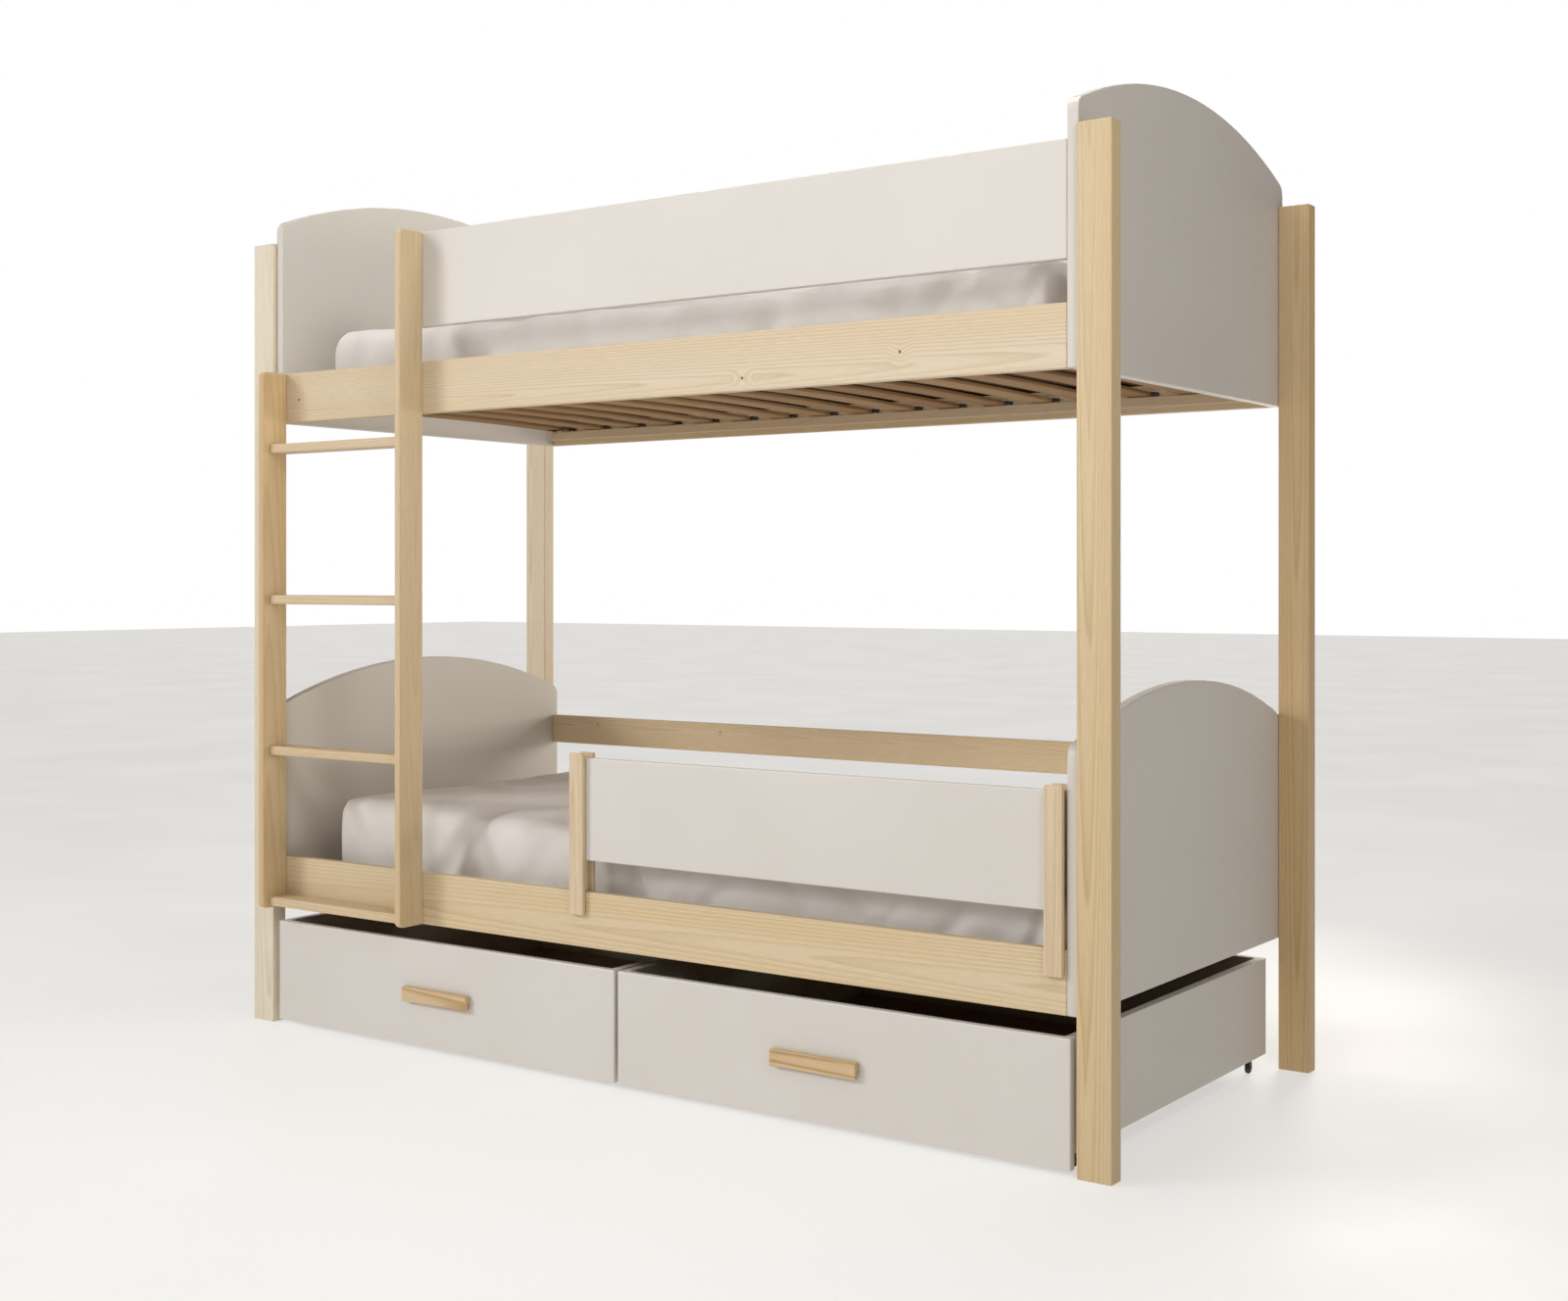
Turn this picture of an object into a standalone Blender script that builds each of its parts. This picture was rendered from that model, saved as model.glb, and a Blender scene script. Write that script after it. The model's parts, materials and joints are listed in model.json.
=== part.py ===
"""A bunk bed with a ladder, a lift-off guard, two mattresses and two drawers on wheels.

Metres, +Z up. +X runs along the bed and -Y is its front, where the ladder and the drawers are.
The origin is on the floor, under the middle of the whole object's box. Left and right are as
seen from the front. Boards keep FIT between faces that touch.
"""

import math

import bmesh
import bpy
from mathutils import Vector

# Clearances
FIT = 0.0003                     # between faces that touch
SLIP = 0.001                     # each side of a piece that lifts off

# Whole bed, over the outside faces of its posts
BED_LENGTH = 1.994
BED_DEPTH = 0.875
POST_HEIGHT = 1.640
POST_WIDTH = 0.0605              # along X
POST_THICKNESS = 0.0335          # along Y

# The two tiers
LOWER_TIER = 0.249               # underside of the lower rails and end panels
TIER_RISE = 1.0115               # from the lower tier to the upper one
RAIL_HEIGHT = 0.103
RAIL_THICKNESS = 0.018
PANEL_SETBACK = 0.0085           # rails and panels behind the faces of the posts
PANEL_THICKNESS = 0.020
PANEL_HEIGHT = 0.507             # at the top of the arch
ARCH_RISE = 0.088
SHOULDER_RADIUS = 0.024

# Boards above the rails
GUARD_HEIGHT = 0.188
GUARD_GAP = 0.068                # between the upper rail and its guard
FENCE_HEIGHT = 0.066

# Ladder
LADDER_INSET = 0.018             # from the left post to the ladder
LADDER_CLEAR_WIDTH = 0.388
LADDER_RAIL_DEPTH = 0.062
LADDER_RAIL_THICKNESS = 0.015
LADDER_CORNER_RADIUS = 0.012
RUNG_COUNT = 4
RUNG_DEPTH = 0.047
RUNG_THICKNESS = 0.019
RUNG_EDGE = 0.004
LOWEST_RUNG = 0.0045             # its underside above the lower tier
TOP_RUNG_DROP = 0.0475           # its top below the upper tier

# Slat bases
LEDGER_SIZE = 0.020
LEDGER_TOP = 0.032               # above the underside of the rail
LEDGER_END_GAP = 0.006
SLAT_WIDTH = 0.053
SLAT_THICKNESS = 0.014
SLAT_PITCH = 0.109
SLAT_END_GAP = 0.002
STRAP_WIDTH = 0.025
STRAP_THICKNESS = 0.002
STRAP_FROM_END = 0.026           # middle of the strap to the ends of the slats
STRAP_SINK = 0.0006              # how far the strap is pressed into the slats
STRAP_END = 0.013                # past the middle of the end slats

# Mattresses
MATTRESS_PLAY_LENGTH = 0.103     # shorter than the space between the end panels
MATTRESS_PLAY_WIDTH = 0.042      # narrower than the space between the rails
MATTRESS_ROUND = 0.028
UPPER_MATTRESS_THICKNESS = 0.141
LOWER_MATTRESS_THICKNESS = 0.175
UPPER_MATTRESS_GAP = 0.066       # from the left end panel
LOWER_MATTRESS_GAP = 0.094

# Lift-off guard of the lower bunk
LIFT_GUARD_LENGTH = 1.0205
LIFT_GUARD_END_GAP = 0.0025      # to the right end panel
LIFT_BOARD_HEIGHT = 0.190
LIFT_BOARD_GAP = 0.0585          # between the lower rail and the board
LIFT_BOARD_INSET = 0.010         # from the outer edges of the battens
BATTEN_WIDTH = 0.0334
FRONT_BATTEN_THICKNESS = 0.010
BACK_BATTEN_THICKNESS = 0.008
BATTEN_TOP = 0.0085              # above the board
BATTEN_OVERLAP = 0.043           # below the top of the rail

# Drawers
DRAWER_SPACING = 0.0085          # between the two drawers
DRAWER_RIGHT_GAP = 0.010         # right drawer to the right post
DRAWER_LEFT_GAP = 0.0195         # left drawer to the left post
DRAWER_BACK_GAP = 0.069          # drawers to the back of the bed
DRAWER_TOP = 0.2165
DRAWER_FRONT_BOTTOM = 0.0095
DRAWER_BOX_BOTTOM = 0.035
DRAWER_BOARD = 0.0165
DRAWER_FRONT_THICKNESS = 0.016
DRAWER_FLOOR_THICKNESS = 0.006
HANDLE_LENGTH = 0.1765
HANDLE_HEIGHT = 0.0285
HANDLE_THICKNESS = 0.012
HANDLE_BOTTOM = 0.0965
HANDLE_GROOVE_DEPTH = 0.005      # finger groove behind the lower edge
HANDLE_GROOVE_HEIGHT = 0.013
LEFT_HANDLE_OFFSET = 0.007       # from the middle of the drawer
RIGHT_HANDLE_OFFSET = -0.021

# Drawer wheels and the strips that carry them
WHEEL_RADIUS = 0.012
WHEEL_WIDTH = 0.006
WHEEL_FLOOR_GAP = 0.0003
TYRE_ROUND = 0.0015
AXLE_RADIUS = 0.002
AXLE_CLEARANCE = 0.0003
STRIP_WIDTH = 0.028
STRIP_THICKNESS = 0.003
STRIP_END_GAP = 0.004
FORK_WALL = 0.0012
FORK_LENGTH = 0.012              # along Y
FORK_SIDE_GAP = 0.0004
FORK_BELOW_AXLE = 0.004
FRONT_WHEEL_INSET = 0.060        # axle behind the outer face of the drawer's front
BACK_WHEEL_INSET = 0.028         # axle ahead of the drawer's back face

# Edges
BOARD_EDGE = 0.0022
SMALL_EDGE = 0.0012
ROUND_STEPS = 7

# Planes and spans that several pieces share
LADDER_FRONT = -(BED_DEPTH / 2 - PANEL_SETBACK) - FIT - LADDER_RAIL_DEPTH
BED_MIDDLE_Y = -(LADDER_FRONT + BED_DEPTH / 2) / 2
POST_INNER_X = BED_LENGTH / 2 - POST_WIDTH
PANEL_INNER_X = POST_INNER_X - FIT - PANEL_THICKNESS
RAIL_OUTER_Y = BED_DEPTH / 2 - PANEL_SETBACK
RAIL_INNER_Y = RAIL_OUTER_Y - RAIL_THICKNESS
RAIL_END_X = PANEL_INNER_X - FIT
UPPER_TIER = LOWER_TIER + TIER_RISE
GUARD_BOTTOM = UPPER_TIER + RAIL_HEIGHT + GUARD_GAP
GUARD_TOP = GUARD_BOTTOM + GUARD_HEIGHT
LADDER_LEFT_X = -POST_INNER_X + LADDER_INSET
LADDER_RIGHT_X = LADDER_LEFT_X + 2 * LADDER_RAIL_THICKNESS + LADDER_CLEAR_WIDTH
LIFT_BOARD_BOTTOM = LOWER_TIER + RAIL_HEIGHT + LIFT_BOARD_GAP
LIFT_BOARD_TOP = LIFT_BOARD_BOTTOM + LIFT_BOARD_HEIGHT
DRAWER_FRONT_Y = -BED_DEPTH / 2
DRAWER_BACK_Y = BED_DEPTH / 2 - DRAWER_BACK_GAP
DRAWER_ROOM = 2 * POST_INNER_X - DRAWER_LEFT_GAP - DRAWER_SPACING - DRAWER_RIGHT_GAP
DRAWER_WIDTH = DRAWER_ROOM / 2
RIGHT_DRAWER_X = POST_INNER_X - DRAWER_RIGHT_GAP - DRAWER_WIDTH / 2
LEFT_DRAWER_X = RIGHT_DRAWER_X - DRAWER_SPACING - DRAWER_WIDTH
AXLE_HEIGHT = WHEEL_FLOOR_GAP + WHEEL_RADIUS


def clear_scene():
    for obj in list(bpy.data.objects):
        bpy.data.objects.remove(obj)


def make_material(name, color, roughness, metallic=0.0):
    material = bpy.data.materials.new(name)
    material.use_nodes = True
    shader = material.node_tree.nodes["Principled BSDF"]
    shader.inputs["Base Color"].default_value = (*color, 1.0)
    shader.inputs["Roughness"].default_value = roughness
    shader.inputs["Metallic"].default_value = metallic
    material.diffuse_color = (*color, 1.0)
    return material


def finish_set():
    """Colour, roughness and metallic value of each finish."""
    return {
        "pine": make_material("pine", (0.66, 0.50, 0.33), 0.55),
        "white_paint": make_material("white_paint", (0.70, 0.66, 0.63), 0.45),
        "panel_paint": make_material("panel_paint", (0.58, 0.54, 0.48), 0.45),
        "slat_wood": make_material("slat_wood", (0.60, 0.46, 0.31), 0.6),
        "cotton": make_material("cotton", (0.75, 0.72, 0.69), 0.9),
        "hardboard": make_material("hardboard", (0.16, 0.12, 0.09), 0.8),
        "black_steel": make_material("black_steel", (0.02, 0.02, 0.02), 0.4, 0.8),
        "wheel_plastic": make_material("wheel_plastic", (0.015, 0.015, 0.015), 0.5),
    }


def make_empty(name, location, parent=None):
    empty = bpy.data.objects.new(name, None)
    empty.location = location
    empty.parent = parent
    bpy.context.scene.collection.objects.link(empty)
    return empty


def mesh_object(name, bm, location, finish, parent):
    bmesh.ops.recalc_face_normals(bm, faces=bm.faces)
    mesh = bpy.data.meshes.new(name)
    bm.to_mesh(mesh)
    bm.free()
    mesh.materials.append(finish)
    obj = bpy.data.objects.new(name, mesh)
    obj.location = location
    obj.parent = parent
    bpy.context.scene.collection.objects.link(obj)
    return obj


def round_edges(obj, width, segments=2):
    bevel = obj.modifiers.new("edges", "BEVEL")
    bevel.width = width
    bevel.segments = segments
    bevel.limit_method = "ANGLE"
    bevel.angle_limit = math.radians(50)


def box_mesh(size):
    bm = bmesh.new()
    bmesh.ops.create_cube(bm, size=1.0)
    bmesh.ops.scale(bm, vec=size, verts=bm.verts)
    return bm


def board(name, low, high, finish, parent, edge=BOARD_EDGE, segments=2):
    """A board between two opposite corners, with rounded edges."""
    low, high = Vector(low), Vector(high)
    obj = mesh_object(name, box_mesh(high - low), (low + high) / 2, finish, parent)
    if edge:
        round_edges(obj, edge, segments)
    return obj


def extruded(name, outline, x_low, x_high, finish, parent, edge=BOARD_EDGE, segments=2):
    """A board cut to an outline of (y, z) points, as thick as x_high - x_low."""
    half = (x_high - x_low) / 2
    bm = bmesh.new()
    corners = [bm.verts.new((-half, y, z)) for y, z in outline]
    face = bm.faces.new(corners)
    made = bmesh.ops.extrude_face_region(bm, geom=[face])
    moved = [item for item in made["geom"] if isinstance(item, bmesh.types.BMVert)]
    bmesh.ops.translate(bm, verts=moved, vec=(2 * half, 0, 0))
    obj = mesh_object(name, bm, ((x_low + x_high) / 2, 0, 0), finish, parent)
    if edge:
        round_edges(obj, edge, segments)
    return obj


def arc(centre, radius, start, end, steps=ROUND_STEPS):
    """Points on an arc in (y, z), from the start angle to the end angle, in radians."""
    points = []
    for step in range(steps + 1):
        angle = start + (end - start) * step / steps
        points.append((centre[0] + radius * math.cos(angle), centre[1] + radius * math.sin(angle)))
    return points


def arched_outline(half_depth, bottom):
    """An end panel: straight sides, rounded shoulders and a shallow arched top."""
    top = bottom + PANEL_HEIGHT
    arch_radius = (half_depth**2 + ARCH_RISE**2) / (2 * ARCH_RISE)
    arch_z = top - arch_radius
    shoulder_y = half_depth - SHOULDER_RADIUS
    reach = arch_radius - SHOULDER_RADIUS
    shoulder_z = arch_z + math.sqrt(reach**2 - shoulder_y**2)
    lean = math.atan2(shoulder_z - arch_z, shoulder_y)
    right = arc((shoulder_y, shoulder_z), SHOULDER_RADIUS, 0.0, lean)
    crown = arc((0.0, arch_z), arch_radius, lean, math.pi - lean, 3 * ROUND_STEPS)
    left = arc((-shoulder_y, shoulder_z), SHOULDER_RADIUS, math.pi - lean, math.pi)
    return [(-half_depth, bottom), (half_depth, bottom)] + right + crown[1:-1] + left


def ladder_outline(bottom, top):
    """A ladder rail seen from its side, with rounded corners at the front."""
    back = -RAIL_OUTER_Y - FIT
    front = back - LADDER_RAIL_DEPTH
    radius = LADDER_CORNER_RADIUS
    upper = arc((front + radius, top - radius), radius, math.pi / 2, math.pi)
    lower = arc((front + radius, bottom + radius), radius, math.pi, 3 * math.pi / 2)
    return [(back, bottom), (back, top)] + upper + lower


def unite(obj, helpers):
    """Joins helper solids to an object, and leaves the helpers out of the render."""
    for helper in helpers:
        helper.hide_render = True
        helper.display_type = "WIRE"
        union = obj.modifiers.new(helper.name, "BOOLEAN")
        union.operation = "UNION"
        union.object = helper


def turned_ring(name, profile, centre, finish, parent, steps=24):
    """A closed profile of (radius, x) points, turned about the X axis through centre."""
    bm = bmesh.new()
    rings = []
    for step in range(steps):
        angle = 2 * math.pi * step / steps
        ring = [bm.verts.new((x, r * math.cos(angle), r * math.sin(angle))) for r, x in profile]
        rings.append(ring)
    count = len(profile)
    for step in range(steps):
        here, there = rings[step], rings[(step + 1) % steps]
        for index in range(count):
            after = (index + 1) % count
            bm.faces.new((here[index], here[after], there[after], there[index]))
    obj = mesh_object(name, bm, centre, finish, parent)
    obj.data.shade_smooth()
    obj.data.set_sharp_from_angle(angle=math.radians(40))
    return obj


def make_posts(finish, parent):
    x = BED_LENGTH / 2 - POST_WIDTH / 2
    y = BED_DEPTH / 2 - POST_THICKNESS / 2
    half = Vector((POST_WIDTH / 2, POST_THICKNESS / 2, POST_HEIGHT / 2))
    for depth_name, side_y in (("front", -y), ("back", y)):
        for side_name, side_x in (("left", -x), ("right", x)):
            centre = Vector((side_x, side_y, POST_HEIGHT / 2))
            name = f"{depth_name}_{side_name}_post"
            board(name, centre - half, centre + half, finish["pine"], parent)


def make_end_panels(finish, parent):
    for tier_name, bottom in (("lower", LOWER_TIER), ("upper", UPPER_TIER)):
        outline = arched_outline(RAIL_OUTER_Y, bottom)
        for side_name, side in (("left", -1), ("right", 1)):
            faces = sorted((side * PANEL_INNER_X, side * (POST_INNER_X - FIT)))
            extruded(f"{tier_name}_{side_name}_end_panel", outline, *faces,
                     finish["panel_paint"], parent)


def long_board(name, x_low, x_high, side, bottom, height, finish, parent):
    """A board as thick as the rails, in the plane of the front (-1) or back (1) rails."""
    y_low, y_high = sorted((side * RAIL_INNER_Y, side * RAIL_OUTER_Y))
    return board(name, (x_low, y_low, bottom), (x_high, y_high, bottom + height), finish, parent)


def make_rails(finish, parent):
    for tier_name, tier in (("lower", LOWER_TIER), ("upper", UPPER_TIER)):
        for depth_name, side in (("front", -1), ("back", 1)):
            long_board(f"{tier_name}_{depth_name}_rail", -RAIL_END_X, RAIL_END_X, side,
                       tier, RAIL_HEIGHT, finish["pine"], parent)
            top = tier + LEDGER_TOP
            outer = RAIL_INNER_Y - FIT
            y_low, y_high = sorted((side * outer, side * (outer - LEDGER_SIZE)))
            end = RAIL_END_X - LEDGER_END_GAP
            board(f"{tier_name}_{depth_name}_ledger", (-end, y_low, top - LEDGER_SIZE),
                  (end, y_high, top), finish["pine"], parent, SMALL_EDGE, 1)


def make_guards(finish, parent):
    guard_start = LADDER_RIGHT_X - LADDER_RAIL_THICKNESS
    long_board("upper_front_guard", guard_start, RAIL_END_X, -1,
               GUARD_BOTTOM, GUARD_HEIGHT, finish["white_paint"], parent)
    long_board("upper_back_guard", -RAIL_END_X, RAIL_END_X, 1,
               GUARD_BOTTOM, GUARD_HEIGHT, finish["white_paint"], parent)
    long_board("lower_back_fence", -RAIL_END_X, RAIL_END_X, 1,
               LIFT_BOARD_TOP - FENCE_HEIGHT, FENCE_HEIGHT, finish["pine"], parent)


def make_ladder(finish, parent):
    upper_rail_top = UPPER_TIER + RAIL_HEIGHT
    left_inner = LADDER_LEFT_X + LADDER_RAIL_THICKNESS
    right_inner = LADDER_RIGHT_X - LADDER_RAIL_THICKNESS
    extruded("ladder_left_rail", ladder_outline(LOWER_TIER, upper_rail_top),
             LADDER_LEFT_X, left_inner, finish["pine"], parent)
    extruded("ladder_right_rail", ladder_outline(LOWER_TIER, GUARD_TOP),
             right_inner, LADDER_RIGHT_X, finish["pine"], parent)
    first = LOWER_TIER + LOWEST_RUNG
    last = UPPER_TIER - TOP_RUNG_DROP - RUNG_THICKNESS
    back = -RAIL_OUTER_Y - FIT
    for index in range(RUNG_COUNT):
        bottom = first + (last - first) * index / (RUNG_COUNT - 1)
        board(f"ladder_rung_{index + 1}", (left_inner + FIT, back - RUNG_DEPTH, bottom),
              (right_inner - FIT, back, bottom + RUNG_THICKNESS), finish["pine"], parent, RUNG_EDGE)


def make_slat_base(tier_name, tier, finish, parent):
    """Cross slats joined by two webbing straps. Returns the height of its top."""
    bottom = tier + LEDGER_TOP + FIT
    top = bottom + SLAT_THICKNESS
    half_length = RAIL_INNER_Y - SLAT_END_GAP
    room = 2 * RAIL_END_X - SLAT_WIDTH
    count = int(room / SLAT_PITCH) + 1
    first = -SLAT_PITCH * (count - 1) / 2
    slats = []
    for index in range(count):
        x = first + SLAT_PITCH * index
        low = (x - SLAT_WIDTH / 2, -half_length, bottom)
        high = (x + SLAT_WIDTH / 2, half_length, top)
        name = f"{tier_name}_slat_base" if index == 0 else f"{tier_name}_slat_{index + 1}"
        slats.append(board(name, low, high, finish["slat_wood"], parent, 0))
    strap_top = top + STRAP_THICKNESS - STRAP_SINK
    straps = []
    for side_name, side in (("front", -1), ("back", 1)):
        middle = side * (half_length - STRAP_FROM_END)
        low = (first - STRAP_END, middle - STRAP_WIDTH / 2, top - STRAP_SINK)
        high = (-first + STRAP_END, middle + STRAP_WIDTH / 2, strap_top)
        name = f"{tier_name}_{side_name}_strap"
        straps.append(board(name, low, high, finish["cotton"], parent, 0))
    unite(slats[0], straps + slats[1:])
    return strap_top


def make_mattress(name, base_top, thickness, left_gap, finish, parent):
    length = 2 * PANEL_INNER_X - MATTRESS_PLAY_LENGTH
    half_width = RAIL_INNER_Y - MATTRESS_PLAY_WIDTH / 2
    x_low = -PANEL_INNER_X + left_gap
    bottom = base_top + FIT
    board(name, (x_low, -half_width, bottom), (x_low + length, half_width, bottom + thickness),
          finish["cotton"], parent, MATTRESS_ROUND, 3)


def make_lift_guard(finish, parent):
    """A board between battens that straddle the lower front rail."""
    right = RAIL_END_X - LIFT_GUARD_END_GAP
    left = right - LIFT_GUARD_LENGTH
    board_y = (-RAIL_OUTER_Y + FIT, -RAIL_INNER_Y - FIT)
    board("lift_guard_board", (left + LIFT_BOARD_INSET, board_y[0], LIFT_BOARD_BOTTOM),
          (right - LIFT_BOARD_INSET, board_y[1], LIFT_BOARD_TOP), finish["white_paint"], parent)
    bottom = LOWER_TIER + RAIL_HEIGHT - BATTEN_OVERLAP
    top = LIFT_BOARD_TOP + BATTEN_TOP
    front_y = (-RAIL_OUTER_Y - FRONT_BATTEN_THICKNESS, -RAIL_OUTER_Y)
    back_y = (-RAIL_INNER_Y, -RAIL_INNER_Y + BACK_BATTEN_THICKNESS)
    for side_name, x_low in (("left", left), ("right", right - BATTEN_WIDTH)):
        for depth_name, (y_low, y_high) in (("front", front_y), ("back", back_y)):
            away = -SLIP + FIT if depth_name == "front" else SLIP - FIT
            name = f"lift_guard_{side_name}_{depth_name}_batten"
            board(name, (x_low, y_low + away, bottom), (x_low + BATTEN_WIDTH, y_high + away, top),
                  finish["pine"], parent)


def make_handle(name, x_middle, finish, parent):
    """A flat bar with a finger groove behind its lower edge."""
    back = DRAWER_FRONT_Y - FIT
    front = back - HANDLE_THICKNESS
    bottom, top = HANDLE_BOTTOM, HANDLE_BOTTOM + HANDLE_HEIGHT
    groove_top = bottom + HANDLE_GROOVE_HEIGHT
    groove_front = back - HANDLE_GROOVE_DEPTH
    outline = [(back, top), (front, top), (front, bottom), (groove_front, bottom),
               (groove_front, groove_top), (back, groove_top)]
    x_low = x_middle - HANDLE_LENGTH / 2
    extruded(name, outline, x_low, x_low + HANDLE_LENGTH, finish["pine"], parent, SMALL_EDGE, 1)


def fork_outline():
    """Half widths and heights of a wheel fork: an upside-down U."""
    inner = WHEEL_WIDTH / 2 + FORK_SIDE_GAP
    outer = inner + FORK_WALL
    bottom = AXLE_HEIGHT - FORK_BELOW_AXLE
    crotch = AXLE_HEIGHT + WHEEL_RADIUS + 2 * FORK_SIDE_GAP
    top = DRAWER_BOX_BOTTOM - STRIP_THICKNESS / 2
    return [(-outer, bottom), (-inner, bottom), (-inner, crotch), (inner, crotch),
            (inner, bottom), (outer, bottom), (outer, top), (-outer, top)]


def make_fork(name, centre, finish, parent):
    bm = bmesh.new()
    corners = [bm.verts.new((x, -FORK_LENGTH / 2, z)) for x, z in fork_outline()]
    face = bm.faces.new(corners)
    made = bmesh.ops.extrude_face_region(bm, geom=[face])
    moved = [item for item in made["geom"] if isinstance(item, bmesh.types.BMVert)]
    bmesh.ops.translate(bm, verts=moved, vec=(0, FORK_LENGTH, 0))
    return mesh_object(name, bm, centre, finish, parent)


def make_axle(name, centre, finish, parent):
    length = WHEEL_WIDTH + 2 * FORK_SIDE_GAP + 2 * FORK_WALL + 2 * TYRE_ROUND
    bm = bmesh.new()
    bmesh.ops.create_cone(bm, cap_ends=True, segments=12, radius1=AXLE_RADIUS,
                          radius2=AXLE_RADIUS, depth=length)
    bmesh.ops.rotate(bm, verts=bm.verts, matrix=Vector((1, 0, 0)).to_track_quat("Z", "Y").to_matrix())
    return mesh_object(name, bm, centre, finish, parent)


def make_wheel(name, centre, finish, parent):
    half = WHEEL_WIDTH / 2
    bore = AXLE_RADIUS + AXLE_CLEARANCE
    rim = WHEEL_RADIUS - TYRE_ROUND
    profile = [(bore, -half), (rim, -half), (WHEEL_RADIUS, -half + TYRE_ROUND),
               (WHEEL_RADIUS, half - TYRE_ROUND), (rim, half), (bore, half)]
    turned_ring(name, profile, centre, finish, parent)


def make_wheel_strips(side, finish, origin):
    """Under each side of a drawer, a strip with two forks, two axles and two wheels."""
    inner = DRAWER_WIDTH / 2 - DRAWER_BOARD - FIT
    y_front = DRAWER_FRONT_Y + DRAWER_FRONT_THICKNESS + STRIP_END_GAP
    y_back = DRAWER_BACK_Y - STRIP_END_GAP
    axle_ys = {"front": DRAWER_FRONT_Y + FRONT_WHEEL_INSET, "back": DRAWER_BACK_Y - BACK_WHEEL_INSET}
    for edge_name, way in (("left", -1), ("right", 1)):
        x_low, x_high = sorted((way * inner, way * (inner - STRIP_WIDTH)))
        strip = board(f"{side}_drawer_{edge_name}_wheel_strip",
                      (x_low, y_front, DRAWER_BOX_BOTTOM - STRIP_THICKNESS),
                      (x_high, y_back, DRAWER_BOX_BOTTOM), finish["black_steel"], origin, 0)
        middle = way * (inner - STRIP_WIDTH / 4)
        helpers = []
        for axle_name, y in axle_ys.items():
            label = f"{side}_drawer_{axle_name}_{edge_name}"
            helpers.append(make_fork(f"{label}_fork", (middle, y, 0), finish["black_steel"], origin))
            axle_centre = (middle, y, AXLE_HEIGHT)
            helpers.append(make_axle(f"{label}_axle", axle_centre, finish["black_steel"], origin))
            make_wheel(f"{label}_wheel", axle_centre, finish["wheel_plastic"], origin)
        unite(strip, helpers)


def make_drawer(side, x_middle, handle_offset, finish, parent):
    origin = make_empty(f"{side}_drawer_origin", (x_middle, 0, 0), parent)
    half = DRAWER_WIDTH / 2
    inner = half - DRAWER_BOARD - FIT
    box_front = DRAWER_FRONT_Y + DRAWER_FRONT_THICKNESS + FIT
    bottom, top = DRAWER_BOX_BOTTOM, DRAWER_TOP
    board(f"{side}_drawer_front", (-half, DRAWER_FRONT_Y, DRAWER_FRONT_BOTTOM),
          (half, box_front - FIT, top), finish["white_paint"], origin)
    for edge_name, x_low in (("left", -half), ("right", half - DRAWER_BOARD)):
        board(f"{side}_drawer_{edge_name}_side", (x_low, box_front, bottom),
              (x_low + DRAWER_BOARD, DRAWER_BACK_Y, top), finish["panel_paint"], origin, SMALL_EDGE)
    back_front = DRAWER_BACK_Y - DRAWER_BOARD
    board(f"{side}_drawer_back", (-inner, back_front, bottom + FIT),
          (inner, DRAWER_BACK_Y, top), finish["panel_paint"], origin, SMALL_EDGE)
    board(f"{side}_drawer_floor", (-inner, box_front, bottom + FIT),
          (inner, back_front - FIT, bottom + FIT + DRAWER_FLOOR_THICKNESS),
          finish["hardboard"], origin, 0)
    make_handle(f"{side}_drawer_handle", handle_offset, finish, origin)
    make_wheel_strips(side, finish, origin)


def build():
    clear_scene()
    finish = finish_set()
    bed = make_empty("bed_middle", (0, BED_MIDDLE_Y, 0))
    make_posts(finish, bed)
    make_end_panels(finish, bed)
    make_rails(finish, bed)
    make_guards(finish, bed)
    make_ladder(finish, bed)
    upper_base_top = make_slat_base("upper", UPPER_TIER, finish, bed)
    lower_base_top = make_slat_base("lower", LOWER_TIER, finish, bed)
    make_mattress("upper_mattress", upper_base_top, UPPER_MATTRESS_THICKNESS,
                  UPPER_MATTRESS_GAP, finish, bed)
    make_mattress("lower_mattress", lower_base_top, LOWER_MATTRESS_THICKNESS,
                  LOWER_MATTRESS_GAP, finish, bed)
    make_lift_guard(finish, bed)
    make_drawer("left", LEFT_DRAWER_X, LEFT_HANDLE_OFFSET, finish, bed)
    make_drawer("right", RIGHT_DRAWER_X, RIGHT_HANDLE_OFFSET, finish, bed)


build()
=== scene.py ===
# %% [markdown]
# # A bunk bed with a ladder
# This lesson dresses a bed whose structure is already built. The posts, rails, panels, ladder and drawers
# arrive as a fixed frame, in metres, with the floor at height 0. What is left to make is what a visitor's
# eye rests on: the grain of the pine, the satin lacquer on the boards, two mattresses in their cotton
# covers, sprung slats on webbing, and the small black wheels under the drawers.

import json
import math
import random

import bpy
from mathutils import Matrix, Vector, noise


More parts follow.
